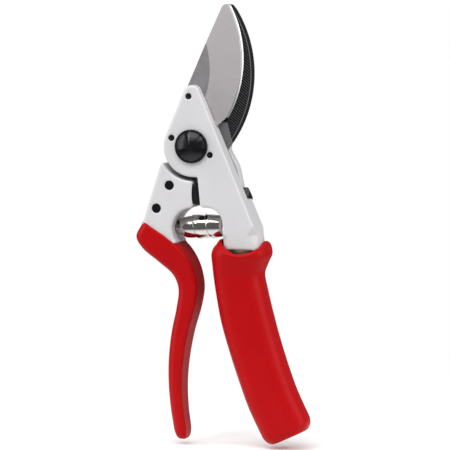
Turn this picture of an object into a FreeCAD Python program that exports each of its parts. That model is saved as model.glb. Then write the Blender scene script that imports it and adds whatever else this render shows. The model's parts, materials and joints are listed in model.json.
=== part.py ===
import FreeCAD, Part
import math
import os

# Bypass pruner with a revolving finger handle, shown closed.
# Millimetres. Z runs up along the tool to the blade's tip, X to the right as
# the blade faces the viewer, Y away from the viewer. The jaws turn about the
# Y axis. The origin is the centre of the pivot nut's rear face.
# Outlines are lists of (x, z, corner radius).

# ---- depth layers, front to back -------------------------------------------
NUT_HEIGHT = 4.0
SEGMENT_THICKNESS = 1.2
REAR_LAP = 5.6
HOOK_THICKNESS = 3.35
BLADE_THICKNESS = 3.05
FRONT_LAP = 6.1
SLIDING_GAP = 0.05
RUNNING_GAP = 0.05

REAR_FACE = -NUT_HEIGHT - SEGMENT_THICKNESS
HOOK_BACK = REAR_FACE - REAR_LAP
HOOK_FRONT = HOOK_BACK - HOOK_THICKNESS
SHEAR_PLANE = HOOK_FRONT - SLIDING_GAP
BLADE_BACK = SHEAR_PLANE - SLIDING_GAP
BLADE_FRONT = BLADE_BACK - BLADE_THICKNESS
FRONT_FACE = BLADE_FRONT - FRONT_LAP
MIDDLE = (FRONT_FACE + REAR_FACE) / 2

# ---- pivot -------------------------------------------------------------------
BOLT_RADIUS = 4.0
BUSH_RADIUS = 5.6
HEAD_RADIUS = 8.1
HEAD_RIM = 1.4
HEAD_DOME = 2.6
EYE_RADIUS = 14.9
WALL_RADIUS = 16.7

# ---- blade and hook, both ground on arcs ------------------------------------
EDGE_CENTRE = (-32.4, 41.4)
EDGE_RADIUS = 55.7
GRIND_RADIUS = 39.6
BEVEL_WIDTH = 1.0
SHOULDER_THICKNESS = 1.35
EDGE_THICKNESS = 0.2
HOOK_EDGE_RADIUS = 53.3
HOOK_CENTRE = (-29.9, 34.6)
HOOK_RADIUS = 57.7
HOOK_RIM = 1.3

# ---- rivets and pins ----------------------------------------------------------
BLADE_PINS = [(-1.5, 23.9), (-10.05, 3.9), (9.1, -4.0)]
BLADE_PIN_RADIUS = 1.35
HOOK_RIVETS = [(-11.2, -18.9), (-17.7, -30.1)]
HOOK_RIVET_RADIUS = 2.2

# ---- return spring ------------------------------------------------------------
SPRING_LEFT = (-9.0, -39.3)
SPRING_RIGHT = (14.1, -38.1)
SPRING_BORE = 2.0
POCKET_CENTRE = (0.3, -40.0)
POCKET_RADIUS = 10.4

# ---- revolving grip -------------------------------------------------------------
SPINDLE_TOP = (23.6, -49.0)
SPINDLE_TILT = 8.0
SPINDLE_RADIUS = 4.0
SPINDLE_START = -7.0
STEM_TURNED_RADIUS = 10.2
STEM_TAPER_RADIUS = 14.5
STEM_TURNED_FROM = (-15.5, -6.0, 14.0)
BOSS_END = 1.8
CUP_RADIUS = 10.6
SPINDLE_BUSH_RADIUS = 5.3
CUP_DEPTH = 3.6
SADDLE_CENTRE = (23.8, -30.9)
SADDLE_RADIUS = 20.0
SADDLE_TOP = -45.0
SLEEVE_WALL = 1.8

# ---- thumb latch ----------------------------------------------------------------
LATCH_PIVOT = (21.5, -38.0)
LATCH_SCREW_RADIUS = 2.5
LATCH_GAP = 0.12
RECESS_RADIUS = 33.5

# The finger handle's rear edges are well rounded for the hand.
REAR_ROUND = 3.0


def at(x, y, z):
    return FreeCAD.Vector(x, y, z)


def upright(y):
    """Places outline points on the plane at depth y."""
    return lambda u, v: at(u, y, v)


def rounded_wire(corners, place):
    """Closed wire of straight runs with tangent arcs at the corners."""
    count = len(corners)
    starts = []
    middles = []
    ends = []
    for index in range(count):
        u, v, radius = corners[index]
        before = corners[index - 1]
        after = corners[(index + 1) % count]
        back = FreeCAD.Vector(before[0] - u, before[1] - v, 0).normalize()
        ahead = FreeCAD.Vector(after[0] - u, after[1] - v, 0).normalize()
        corner = FreeCAD.Vector(u, v, 0)
        half = back.getAngle(ahead) / 2
        reach = radius / math.tan(half)
        bisector = (back + ahead).normalize()
        starts.append(corner + back * reach)
        ends.append(corner + ahead * reach)
        middles.append(corner + bisector * (radius / math.sin(half) - radius))
    edges = []
    for index in range(count):
        first = place(starts[index].x, starts[index].y)
        middle = place(middles[index].x, middles[index].y)
        last = place(ends[index].x, ends[index].y)
        following = starts[(index + 1) % count]
        if corners[index][2] > 0:
            edges.append(Part.Arc(first, middle, last).toShape())
        run_end = place(following.x, following.y)
        if (run_end - last).Length > 1e-4:
            edges.append(Part.LineSegment(last, run_end).toShape())
    return Part.Wire(edges)


def plate(corners, front, back):
    """Flat plate with a rounded outline between two depths."""
    face = Part.Face(rounded_wire(corners, upright(front)))
    return face.extrude(at(0, back - front, 0))


def pillar(centre, radius, front, back):
    """Round bar along Y."""
    x, z = centre
    return Part.makeCylinder(radius, back - front, at(x, front, z), at(0, 1, 0))


def ring(centre, outer, inner, front, back):
    """Flat ring or sleeve along Y."""
    return pillar(centre, outer, front, back).cut(pillar(centre, inner, front - 1, back + 1))


def turned(profile, base, direction):
    """Solid of revolution: profile is (distance along, radius) from the axis out."""
    points = [at(radius, 0, along) for along, radius in profile]
    face = Part.Face(Part.makePolygon(points + points[:1]))
    solid = face.revolve(at(0, 0, 0), at(0, 0, 1), 360)
    solid.Placement = FreeCAD.Placement(base, FreeCAD.Rotation(at(0, 0, 1), direction))
    return solid


def edges_at_depth(solid, y):
    """Edges that lie wholly in the plane at depth y."""
    found = []
    for edge in solid.Edges:
        box = edge.BoundBox
        if abs(box.YMin - y) < 1e-3 and abs(box.YMax - y) < 1e-3:
            found.append(edge)
    return found


def edges_along_y(solid, x, z, reach):
    """Straight depthwise edges near one corner of the outline."""
    found = []
    for edge in solid.Edges:
        box = edge.BoundBox
        depthwise = box.XLength < 1e-3 and box.ZLength < 1e-3 and box.YLength > 0.5
        if depthwise and math.hypot(box.XMin - x, box.ZMin - z) < reach:
            found.append(edge)
    return found


# ---- finger handle side: forging, blade, pins ---------------------------------
FORGING_OUTLINE = [
    (-0.2, 35.1, 3.8),
    (33.5, -44.4, 6.0),
    (33.9, -49.3, 2.0),
    (15.2, -49.3, 2.2),
    (15.1, -29.2, 8.0),
    (4.1, -29.4, 1.8),
    (2.7, -14.8, 0.8),
    (-21.6, -14.8, 14.4),
]
LATCH_RELIEF = [
    (18.0, -20.0, 0.0),
    (27.0, -20.0, 0.0),
    (27.0, -25.7, 0.0),
    (18.0, -25.7, 1.0),
]


def spindle_axis():
    tilt = math.radians(SPINDLE_TILT)
    return at(math.sin(tilt), 0, -math.cos(tilt))


def on_spindle(distance):
    """Point on the spindle's axis, measured down from its top."""
    top = at(SPINDLE_TOP[0], MIDDLE, SPINDLE_TOP[1])
    return top + spindle_axis() * distance


def on_axis(profile):
    """Solid turned about the spindle: (distance below its top, radius)."""
    return turned(profile, on_spindle(0), spindle_axis())


def blade_blank():
    """Blade and tang outline before grinding."""
    body = plate(
        [
            (-3.8, 28.3, 0.0),
            (16.1, 73.6, 0.0),
            (32.0, 73.6, 0.0),
            (32.0, 13.6, 0.0),
            (15.0, 13.6, 1.5),
            (11.0, 10.0, 1.0),
            (8.0, 2.0, 0.0),
            (-10.4, 5.4, 0.0),
            (-6.6, 20.5, 2.0),
        ],
        BLADE_FRONT,
        BLADE_BACK,
    )
    body = body.fuse(pillar((0, 0), EYE_RADIUS - 1.6, BLADE_FRONT, BLADE_BACK))
    body = body.common(pillar(EDGE_CENTRE, EDGE_RADIUS, BLADE_FRONT, BLADE_BACK)).removeSplitter()
    return body.makeFillet(2.5, edges_along_y(body, 14.9, 70.8, 1.5))


def finger_handle_forging():
    solid = plate(FORGING_OUTLINE, FRONT_FACE, REAR_FACE)
    solid = solid.makeFillet(1.1, edges_at_depth(solid, FRONT_FACE))
    solid = solid.makeFillet(REAR_ROUND, edges_at_depth(solid, REAR_FACE))
    solid = solid.cut(pillar((0, 0), RECESS_RADIUS, BLADE_BACK, REAR_FACE + 1))
    solid = solid.cut(plate(LATCH_RELIEF, BLADE_BACK, REAR_FACE + 1))
    solid = solid.cut(blade_blank())
    solid = solid.cut(pillar((0, 0), BUSH_RADIUS, FRONT_FACE - 1, BLADE_BACK + 1))
    for pin in BLADE_PINS:
        solid = solid.cut(pillar(pin, BLADE_PIN_RADIUS, FRONT_FACE - 1, BLADE_BACK + 1))
    # The stem tapers into a foot turned round, to run inside the revolving cup.
    start, straight, end = STEM_TURNED_FROM
    outside = on_axis([(start, 0), (start, 40), (end, 40), (end, 0)])
    kept = on_axis([(start, 0), (start, STEM_TAPER_RADIUS), (straight, STEM_TURNED_RADIUS),
                    (end, STEM_TURNED_RADIUS), (end, 0)])
    solid = solid.cut(outside.cut(kept))
    # A boss squares the foot to the spindle.
    boss = on_axis([(-5, 0), (-5, 6.5), (BOSS_END, 6.5), (BOSS_END, 0)])
    thread = on_axis([(SPINDLE_START, 0), (SPINDLE_START, SPINDLE_RADIUS), (3, SPINDLE_RADIUS), (3, 0)])
    solid = solid.fuse(boss).cut(thread)
    solid = solid.cut(pillar(LATCH_PIVOT, LATCH_SCREW_RADIUS, REAR_FACE - 5.5, REAR_FACE + 1))
    solid = solid.cut(blade_side_spring_seat())
    return solid.removeSplitter()


def cutting_blade():
    solid = blade_blank()
    shoulder = EDGE_RADIUS - BEVEL_WIDTH
    profile = [
        at(GRIND_RADIUS, BLADE_FRONT, 0),
        at(shoulder, BLADE_BACK - SHOULDER_THICKNESS, 0),
        at(EDGE_RADIUS, BLADE_BACK - EDGE_THICKNESS, 0),
        at(EDGE_RADIUS + 5, BLADE_BACK - EDGE_THICKNESS, 0),
        at(EDGE_RADIUS + 5, BLADE_FRONT - 1, 0),
        at(GRIND_RADIUS, BLADE_FRONT - 1, 0),
    ]
    wheel = Part.Face(Part.makePolygon(profile + profile[:1]))
    wheel = wheel.revolve(at(0, 0, 0), at(0, 1, 0), 360)
    wheel.translate(at(EDGE_CENTRE[0], 0, EDGE_CENTRE[1]))
    # Below the forging's edge the blade keeps its full thickness.
    tang = plate([(-40, 33.5, 0), (40, -1.5, 0), (40, -60, 0), (-40, -60, 0)], BLADE_FRONT - 2, BLADE_BACK)
    solid = solid.cut(wheel.cut(tang))
    solid = solid.cut(pillar((0, 0), BUSH_RADIUS, BLADE_FRONT - 1, BLADE_BACK + 1))
    for pin in BLADE_PINS:
        solid = solid.cut(pillar(pin, BLADE_PIN_RADIUS, BLADE_FRONT - 1, BLADE_BACK + 1))
    return solid.removeSplitter()


def blade_pins():
    """Three pins, each with a shallow centre dimple."""
    pins = []
    for x, z in BLADE_PINS:
        pin = pillar((x, z), BLADE_PIN_RADIUS, FRONT_FACE, BLADE_BACK)
        dimple = Part.makeCone(0.55, 0.0, 0.5, at(x, FRONT_FACE, z), at(0, 1, 0))
        pins.append(pin.cut(dimple))
    return Part.makeCompound(pins)


def pivot_bush():
    return ring((0, 0), BUSH_RADIUS, BOLT_RADIUS + RUNNING_GAP, FRONT_FACE, BLADE_BACK)


# ---- thumb handle side: forging, hook, rivets, bumper --------------------------
THUMB_OUTLINE = [
    (-14.3, -4.6, 0.0),
    (0.4, -4.6, 0.0),
    (0.4, -31.0, 0.0),
    (-9.6, -49.0, 0.0),
    (-20.0, -49.0, 4.0),
    (-26.2, -42.0, 3.0),
]
EAR_OUTLINE = [
    (14.2, -1.0, 3.0),
    (19.3, -9.8, 12.0),
    (21.6, -20.4, 0.5),
    (18.5, -20.4, 0.5),
    (17.6, -26.0, 2.0),
    (8.0, -27.4, 4.0),
    (-4.0, -27.4, 0.0),
    (-8.0, -2.0, 0.0),
]
# Grip stations: height, centre, half width, half depth.
THUMB_GRIP = [
    (-33.0, -19.0, 4.6, 10.2),
    (-38.0, -19.6, 6.2, 10.2),
    (-44.0, -19.8, 8.8, 10.2),
    (-50.0, -15.2, 10.0, 9.9),
    (-56.0, -9.5, 8.3, 9.1),
    (-62.0, -4.9, 6.0, 8.4),
    (-69.0, -3.0, 5.1, 8.0),
    (-78.0, -4.2, 4.9, 7.8),
    (-90.0, -7.2, 4.5, 7.5),
    (-102.0, -9.1, 4.1, 7.2),
    (-114.0, -9.8, 3.7, 6.9),
    (-126.0, -9.2, 3.5, 6.5),
    (-136.0, -7.8, 3.4, 6.1),
]
THUMB_GRIP_END = -142.2
# The sleeve's upper edge across the forging.
SLEEVE_EDGE = [
    (-40.0, -38.5, 0.0),
    (-25.2, -36.4, 0.6),
    (-14.7, -42.6, 12.0),
    (-8.6, -47.6, 1.6),
    (0.0, -41.0, 0.0),
    (10.0, -20.0, 0.0),
    (-40.0, -20.0, 0.0),
]


def flat_section(centre_x, z, half_width, half_depth):
    """Grip section: crisp corners towards the other handle, soft outside."""
    inner = min(2.2, half_width * 0.6)
    outer = min(4.6, 2 * half_width - inner - 0.3)
    corners = [
        (half_width, half_depth, inner),
        (half_width, -half_depth, inner),
        (-half_width, -half_depth, outer),
        (-half_width, half_depth, outer),
    ]
    return rounded_wire(corners, lambda u, v: at(centre_x + u, MIDDLE + v, z))


def thumb_grip_shape(inset, end):
    """Curved thumb grip, taken in by an inset, with a rounded lower end."""
    sections = [flat_section(x, z, w - inset, d - inset) for z, x, w, d in THUMB_GRIP]
    z, x, w, d = THUMB_GRIP[-1]
    for turn in (35, 60, 80):
        drop = math.sin(math.radians(turn)) * (z - end)
        shrink = 0.4 + 0.6 * math.cos(math.radians(turn))
        sections.append(flat_section(x + 0.14 * drop, z - drop, (w - inset) * shrink, (d - inset) * shrink))
    return Part.makeLoft(sections, True, False)


def hook_blank():
    """Hook, eye and tang in one flat piece."""
    hook = pillar(HOOK_CENTRE, HOOK_RADIUS, HOOK_FRONT, HOOK_BACK)
    hook = hook.cut(pillar(EDGE_CENTRE, HOOK_EDGE_RADIUS, HOOK_FRONT - 1, HOOK_BACK + 1))
    reach = plate(
        [
            (12.4, 64.0, 0.0),
            (14.4, 67.6, 0.8),
            (17.1, 67.5, 1.1),
            (20.6, 63.4, 0.0),
            (40.0, 40.0, 0.0),
            (24.0, -6.0, 0.0),
            (8.0, -8.0, 0.0),
            (4.0, 8.0, 0.0),
            (14.0, 40.0, 0.0),
        ],
        HOOK_FRONT,
        HOOK_BACK,
    )
    tang = plate(
        [
            (-12.6, -3.5, 2.0),
            (1.0, -9.0, 0.0),
            (-0.6, -19.5, 3.0),
            (-13.5, -38.5, 2.0),
            (-22.0, -35.5, 2.0),
        ],
        HOOK_FRONT,
        HOOK_BACK,
    )
    solid = hook.common(reach).fuse(pillar((0, 0), EYE_RADIUS, HOOK_FRONT, HOOK_BACK)).fuse(tang)
    return solid.removeSplitter()


def counter_blade():
    solid = hook_blank()
    # The face beyond the cutting line falls back in a bevel, up to a raised rim.
    rim = HOOK_RADIUS - HOOK_RIM
    profile = [
        at(HOOK_RADIUS - 9.5, HOOK_FRONT - 1, 0),
        at(HOOK_RADIUS - 9.5, HOOK_FRONT, 0),
        at(rim, HOOK_FRONT + 1.1, 0),
        at(HOOK_RADIUS, HOOK_FRONT + 1.6, 0),
        at(HOOK_RADIUS + 4, HOOK_FRONT + 1.6, 0),
        at(HOOK_RADIUS + 4, HOOK_FRONT - 1, 0),
    ]
    wheel = Part.Face(Part.makePolygon(profile + profile[:1]))
    wheel = wheel.revolve(at(0, 0, 0), at(0, 1, 0), 360)
    wheel.translate(at(HOOK_CENTRE[0], 0, HOOK_CENTRE[1]))
    bevelled = plate(
        [(14.8, 12.7, 0), (17.6, 1.0, 0), (45, 1.0, 0), (45, 75, 0), (14.8, 75, 0)],
        HOOK_FRONT - 2,
        HOOK_BACK,
    )
    solid = solid.cut(wheel.common(bevelled))
    solid = solid.cut(pillar((0, 0), BOLT_RADIUS, HOOK_FRONT - 1, HOOK_BACK + 1))
    for rivet in HOOK_RIVETS:
        solid = solid.cut(pillar(rivet, HOOK_RIVET_RADIUS - 0.4, HOOK_FRONT - 1, HOOK_BACK + 1))
    return solid.removeSplitter()


def thumb_forging_plate():
    """The flat part of the thumb handle's forging, above its sleeve."""
    solid = plate(THUMB_OUTLINE, FRONT_FACE, REAR_FACE)
    solid = solid.cut(pillar((0, 0), WALL_RADIUS, FRONT_FACE - 1, REAR_FACE + 1))
    solid = solid.cut(pillar(POCKET_CENTRE, POCKET_RADIUS, FRONT_FACE - 1, REAR_FACE + 1))
    solid = solid.makeFillet(0.8, edges_along_y(solid, -15.0, -7.2, 1.5))
    corners = edges_along_y(solid, 0.4, -16.7, 1.0)
    corners += edges_along_y(solid, 0.4, -29.6, 1.0)
    solid = solid.makeFillet(1.4, corners)
    solid = solid.makeFillet(1.1, edges_at_depth(solid, FRONT_FACE))
    lap = pillar((0, 0), EYE_RADIUS + 0.3, HOOK_BACK, REAR_FACE)
    lap = lap.fuse(plate(EAR_OUTLINE, HOOK_BACK, REAR_FACE))
    bridge = plate(
        [(-14.4, -4.0, 1.5), (0.4, -4.0, 0.0), (0.4, -27.0, 0.0), (-20.0, -27.0, 0.0)],
        HOOK_BACK,
        REAR_FACE,
    )
    return solid.fuse(lap).fuse(bridge).removeSplitter()


def thumb_handle_forging():
    solid = thumb_forging_plate().fuse(thumb_grip_shape(SLEEVE_WALL, THUMB_GRIP_END + 3))
    solid = solid.cut(plate([(-60, -39.0, 0), (20, -39.0, 0), (20, 10, 0), (-60, 10, 0)],
                            FRONT_FACE - 9, FRONT_FACE))
    solid = solid.cut(plate([(-60, -39.0, 0), (20, -39.0, 0), (20, 10, 0), (-60, 10, 0)],
                            REAR_FACE, REAR_FACE + 9))
    solid = solid.cut(hook_blank())
    solid = solid.cut(pillar((0, 0), BOLT_RADIUS, HOOK_BACK - 1, REAR_FACE + 1))
    for rivet in HOOK_RIVETS:
        solid = solid.cut(pillar(rivet, HOOK_RIVET_RADIUS, FRONT_FACE - 1, HOOK_FRONT))
        solid = solid.cut(pillar(rivet, HOOK_RIVET_RADIUS - 0.4, HOOK_BACK - 1, REAR_FACE + 1))
    solid = solid.cut(pillar(SEGMENT_SCREW, SEGMENT_SCREW_RADIUS, HOOK_BACK, REAR_FACE + 1))
    solid = solid.cut(thumb_side_spring_seat()).cut(stop_bumper())
    return solid.removeSplitter()


def thumb_grip_sleeve():
    solid = thumb_grip_shape(0, THUMB_GRIP_END)
    solid = solid.cut(plate(SLEEVE_EDGE, FRONT_FACE - 9, REAR_FACE + 9))
    return solid.cut(thumb_grip_shape(SLEEVE_WALL, THUMB_GRIP_END + 3)).cut(thumb_forging_plate())


def hook_rivets():
    """Two rivets, thick through the front wall and stepped behind the hook."""
    rivets = []
    for rivet in HOOK_RIVETS:
        thick = pillar(rivet, HOOK_RIVET_RADIUS, FRONT_FACE + 0.15, HOOK_FRONT)
        thin = pillar(rivet, HOOK_RIVET_RADIUS - 0.4, HOOK_FRONT, REAR_FACE)
        rivets.append(thick.fuse(thin))
    return Part.makeCompound(rivets)


def stop_bumper():
    """Moulded block between the handles, let into the thumb handle's edge."""
    outline = [
        (0.2, -18.0, 0.6),
        (2.5, -18.3, 0.7),
        (3.65, -27.4, 0.9),
        (2.2, -28.4, 0.7),
        (0.3, -27.4, 1.2),
        (-0.8, -22.8, 4.0),
    ]
    return plate(outline, FRONT_FACE + 0.6, HOOK_BACK - 0.1)


# ---- pivot bolt, nut and its locking segment -----------------------------------
SEGMENT_SCREW = (-8.6, -9.4)
SEGMENT_SCREW_RADIUS = 1.6
NUT_TEETH = 30
NUT_FLANGE_RADIUS = 8.4
NUT_FLAT_RADIUS = 7.2


def pivot_bolt():
    """Domed head, shank through both handles and into the nut."""
    rim_front = FRONT_FACE - SLIDING_GAP - HEAD_RIM
    shank = pillar((0, 0), BOLT_RADIUS, rim_front, 0)
    rim = pillar((0, 0), HEAD_RADIUS, rim_front, FRONT_FACE - SLIDING_GAP)
    rim = rim.makeFillet(0.5, edges_at_depth(rim, rim_front))
    dome_radius = (7.0 ** 2 + HEAD_DOME ** 2) / (2 * HEAD_DOME)
    dome = Part.makeSphere(dome_radius, at(0, rim_front - HEAD_DOME + dome_radius, 0))
    dome = dome.common(pillar((0, 0), HEAD_RADIUS, rim_front - HEAD_DOME - 1, rim_front))
    return shank.fuse(rim).fuse(dome).removeSplitter()


def toothed_outline(root, tip, count):
    """Ring of pointed teeth about the pivot."""
    points = []
    for index in range(2 * count):
        radius = tip if index % 2 else root
        angle = math.pi * index / count
        points.append((radius * math.cos(angle), radius * math.sin(angle), 0.0))
    return points


def pivot_nut():
    flange = plate(toothed_outline(NUT_FLANGE_RADIUS - 0.6, NUT_FLANGE_RADIUS, NUT_TEETH),
                   REAR_FACE, REAR_FACE + 1.6)
    hexagon = []
    for index in range(6):
        angle = math.pi * index / 3
        hexagon.append((NUT_FLAT_RADIUS * math.cos(angle), NUT_FLAT_RADIUS * math.sin(angle), 0.0))
    body = plate(hexagon, REAR_FACE + 1.6, 0)
    return flange.fuse(body).cut(pillar((0, 0), BOLT_RADIUS, REAR_FACE - 1, 1))


def nut_lock_segment():
    """Small plate whose inner teeth hold the nut's flange."""
    outline = [(-3.0, -9.2, 1.0), (-8.4, -4.2, 1.0), (-13.6, -9.6, 3.0), (-9.0, -14.2, 3.0)]
    solid = plate(outline, REAR_FACE, REAR_FACE + SEGMENT_THICKNESS)
    mesh = plate(toothed_outline(NUT_FLANGE_RADIUS - 0.45, NUT_FLANGE_RADIUS + 0.15, NUT_TEETH),
                 REAR_FACE - 1, REAR_FACE + 3)
    return solid.cut(mesh).cut(pillar(SEGMENT_SCREW, SEGMENT_SCREW_RADIUS, REAR_FACE - 1, 1))


def segment_screw():
    shank = pillar(SEGMENT_SCREW, SEGMENT_SCREW_RADIUS, HOOK_BACK + 0.5, REAR_FACE + SEGMENT_THICKNESS)
    head_back = REAR_FACE + SEGMENT_THICKNESS + 1.6
    head = pillar(SEGMENT_SCREW, 2.9, REAR_FACE + SEGMENT_THICKNESS, head_back)
    head = head.makeFillet(0.5, edges_at_depth(head, head_back))
    return shank.fuse(head).cut(hex_socket(SEGMENT_SCREW, 1.3, head_back - 1.1, head_back))


def hex_socket(centre, radius, front, back):
    corners = []
    for index in range(6):
        angle = math.pi * index / 3
        corners.append((centre[0] + radius * math.cos(angle), centre[1] + radius * math.sin(angle), 0.0))
    return plate(corners, front, back + 0.2)


# ---- return spring and its seats --------------------------------------------------
def spring_axis():
    run = at(SPRING_RIGHT[0] - SPRING_LEFT[0], 0, SPRING_RIGHT[1] - SPRING_LEFT[1])
    return run.normalize()


def spring_length():
    return math.hypot(SPRING_RIGHT[0] - SPRING_LEFT[0], SPRING_RIGHT[1] - SPRING_LEFT[1])


def return_spring():
    """Volute of flat strip, narrow at the thumb end: its outer shape, bored through."""
    end = spring_length()
    profile = [(0, SPRING_BORE), (0, 2.9), (3.5, 4.0), (8, 5.2), (11, 5.4), (end - 4, 5.2),
               (end, 4.4), (end, SPRING_BORE)]
    base = at(SPRING_LEFT[0], MIDDLE, SPRING_LEFT[1])
    return turned(profile, base, spring_axis())


def blade_side_spring_seat():
    """Flange and peg on the finger handle's stem."""
    base = at(SPRING_RIGHT[0], MIDDLE, SPRING_RIGHT[1])
    return turned([(-3.4, 0), (-3.4, 1.7), (0.1, 1.7), (0.1, 4.2), (1.6, 4.2), (1.6, 0)], base, spring_axis())


def thumb_side_spring_seat():
    """Flange and peg in the thumb handle's pocket."""
    base = at(SPRING_LEFT[0], MIDDLE, SPRING_LEFT[1])
    return turned([(-2.4, 0), (-2.4, 2.7), (-0.2, 2.7), (-0.2, 1.7), (2.6, 1.7), (2.6, 0)], base, spring_axis())


# ---- revolving grip -----------------------------------------------------------------
# Stations: centre x, height, lean in degrees, half width, half depth.
FINGER_GRIP = [
    (23.5, -44.0, 0, 10.6, 10.6),
    (23.4, -46.2, 0, 12.0, 11.8),
    (22.9, -49.0, 0, 13.6, 13.2),
    (22.5, -52.0, 0, 14.1, 13.4),
    (21.9, -56.0, 2, 13.2, 12.4),
    (21.3, -62.0, 5, 12.0, 11.2),
    (22.6, -70.0, 9, 12.1, 10.6),
    (25.2, -82.0, 13, 12.4, 10.3),
    (28.9, -95.0, 17, 12.3, 10.2),
    (33.5, -109.0, 19, 12.2, 10.2),
    (38.2, -121.5, 22, 12.2, 10.0),
    (44.3, -134.0, 25, 12.1, 9.7),
]
FINGER_GRIP_END = 6.0


def oval_section(x, z, lean, half_width, half_depth):
    """Round-cornered oval across the finger grip."""
    tilt = math.radians(lean)
    radius = min(half_width, half_depth) * 0.82
    corners = [
        (half_width, half_depth, radius),
        (half_width, -half_depth, radius),
        (-half_width, -half_depth, radius),
        (-half_width, half_depth, radius),
    ]
    return rounded_wire(
        corners,
        lambda u, v: at(x + u * math.cos(tilt), MIDDLE + v, z + u * math.sin(tilt)),
    )


def finger_grip_shape(inset, end):
    """Curved finger grip, taken in by an inset, with a rounded lower end."""
    sections = [oval_section(x, z, t, w - inset, d - inset) for x, z, t, w, d in FINGER_GRIP]
    x, z, lean, w, d = FINGER_GRIP[-1]
    tilt = math.radians(lean)
    for turn in (30, 55, 75, 88):
        drop = math.sin(math.radians(turn)) * end
        shrink = 0.62 + 0.38 * math.cos(math.radians(turn))
        sections.append(oval_section(x + drop * math.sin(tilt), z - drop * math.cos(tilt), lean,
                                     (w - inset) * shrink, (d - inset) * shrink))
    return Part.makeLoft(sections, True, False)


def saddle_cut(lift):
    """Everything above the grip's saddle-shaped rim."""
    scoop = pillar(SADDLE_CENTRE, SADDLE_RADIUS - lift, MIDDLE - 30, MIDDLE + 30)
    above = Part.makeBox(80, 60, 40, at(-16, MIDDLE - 30, SADDLE_TOP + lift))
    return scoop.fuse(above)


UPPER_BUSH_END = 16.0
LOWER_BUSH_START = 40.0
LOWER_BUSH_END = 50.0
SPINDLE_HEAD_START = 51.2
BUSH_BORE = SPINDLE_RADIUS + RUNNING_GAP


def rotating_grip_core():
    solid = finger_grip_shape(SLEEVE_WALL, FINGER_GRIP_END - SLEEVE_WALL)
    solid = solid.cut(saddle_cut(-0.8))
    hollow = [
        (-20, 0), (-20, CUP_RADIUS), (CUP_DEPTH, CUP_RADIUS), (CUP_DEPTH, SPINDLE_BUSH_RADIUS),
        (UPPER_BUSH_END, SPINDLE_BUSH_RADIUS), (UPPER_BUSH_END, 4.6), (LOWER_BUSH_START, 4.6),
        (LOWER_BUSH_START, SPINDLE_BUSH_RADIUS), (LOWER_BUSH_END, SPINDLE_BUSH_RADIUS),
        (LOWER_BUSH_END, 7.0), (100, 7.0), (100, 0),
    ]
    return solid.cut(on_axis(hollow))


def rotating_grip_sleeve():
    solid = finger_grip_shape(0, FINGER_GRIP_END)
    solid = solid.cut(saddle_cut(0))
    solid = solid.cut(finger_grip_shape(SLEEVE_WALL, FINGER_GRIP_END - SLEEVE_WALL))
    mouth = [(-20, 0), (-20, CUP_RADIUS), (CUP_DEPTH, CUP_RADIUS), (CUP_DEPTH, 0)]
    return solid.cut(on_axis(mouth))


def upper_spindle_bush():
    """Bronze bush with the flange that carries the thrust."""
    start = CUP_DEPTH
    return on_axis([(start - 1.3, BUSH_BORE), (start - 1.3, 9.6), (start, 9.6), (start, SPINDLE_BUSH_RADIUS),
                      (UPPER_BUSH_END, SPINDLE_BUSH_RADIUS), (UPPER_BUSH_END, BUSH_BORE)])


def lower_spindle_bush():
    return on_axis([(LOWER_BUSH_START, BUSH_BORE), (LOWER_BUSH_START, SPINDLE_BUSH_RADIUS),
                      (LOWER_BUSH_END, SPINDLE_BUSH_RADIUS), (LOWER_BUSH_END, BUSH_BORE)])


def thrust_washer():
    """Thin washer between the stem's boss and the bush's flange."""
    end = BOSS_END + 0.45
    return on_axis([(BOSS_END, SPINDLE_RADIUS), (BOSS_END, 7.6), (end, 7.6), (end, SPINDLE_RADIUS)])


def spindle_bolt():
    """Screwed into the stem, with a socket head under the lower bush.

    It goes in through the long bore in the core's end, under the sleeve.
    """
    head_end = SPINDLE_HEAD_START + 5.0
    bolt = on_axis([(SPINDLE_START, 0), (SPINDLE_START, SPINDLE_RADIUS), (SPINDLE_HEAD_START, SPINDLE_RADIUS),
                      (SPINDLE_HEAD_START, 6.4), (head_end, 6.4), (head_end, 0)])
    socket = on_axis([(head_end - 3, 0), (head_end - 3, 2.9), (head_end + 1, 2.9), (head_end + 1, 0)])
    return bolt.cut(socket)


def spindle_end_washer():
    return on_axis([(SPINDLE_HEAD_START - 1.1, SPINDLE_RADIUS), (SPINDLE_HEAD_START - 1.1, 6.6),
                      (SPINDLE_HEAD_START, 6.6), (SPINDLE_HEAD_START, SPINDLE_RADIUS)])


# ---- thumb latch -------------------------------------------------------------------
LATCH_LEVER = [
    (17.2, -41.6, 3.6),
    (16.9, -30.0, 8.0),
    (19.0, -26.2, 4.0),
    (20.1, -21.5, 0.8),
    (21.7, -21.5, 0.8),
    (23.2, -26.0, 3.0),
    (25.4, -34.0, 8.0),
    (25.4, -41.8, 3.8),
]
LATCH_TOOTH = [(21.95, -20.9, 0.3), (23.1, -20.9, 0.6), (23.6, -24.9, 0.5), (22.2, -24.9, 0.3)]
LATCH_THICKNESS = 2.2
PAD_OUTLINE = [
    (19.7, -20.6, 1.0),
    (22.3, -20.6, 1.2),
    (24.7, -25.6, 1.5),
    (24.2, -27.4, 1.2),
    (18.7, -27.4, 1.2),
]
PAD_RIDGES = 4
PAD_PITCH = 1.3


def latch_lever():
    """Flat lever with the tooth that stands forward from its tip."""
    front = REAR_FACE + LATCH_GAP
    lever = plate(LATCH_LEVER, front, front + LATCH_THICKNESS)
    lever = lever.makeFillet(0.5, edges_at_depth(lever, front + LATCH_THICKNESS))
    return lever.fuse(plate(LATCH_TOOTH, REAR_FACE - 3.6, front + 0.5))


def thumb_latch():
    """Lever on the finger handle's back, with the hole for its screw."""
    hole = pillar(LATCH_PIVOT, LATCH_SCREW_RADIUS + RUNNING_GAP, REAR_FACE - 1, REAR_FACE + 9)
    return latch_lever().cut(hole).removeSplitter()


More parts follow.
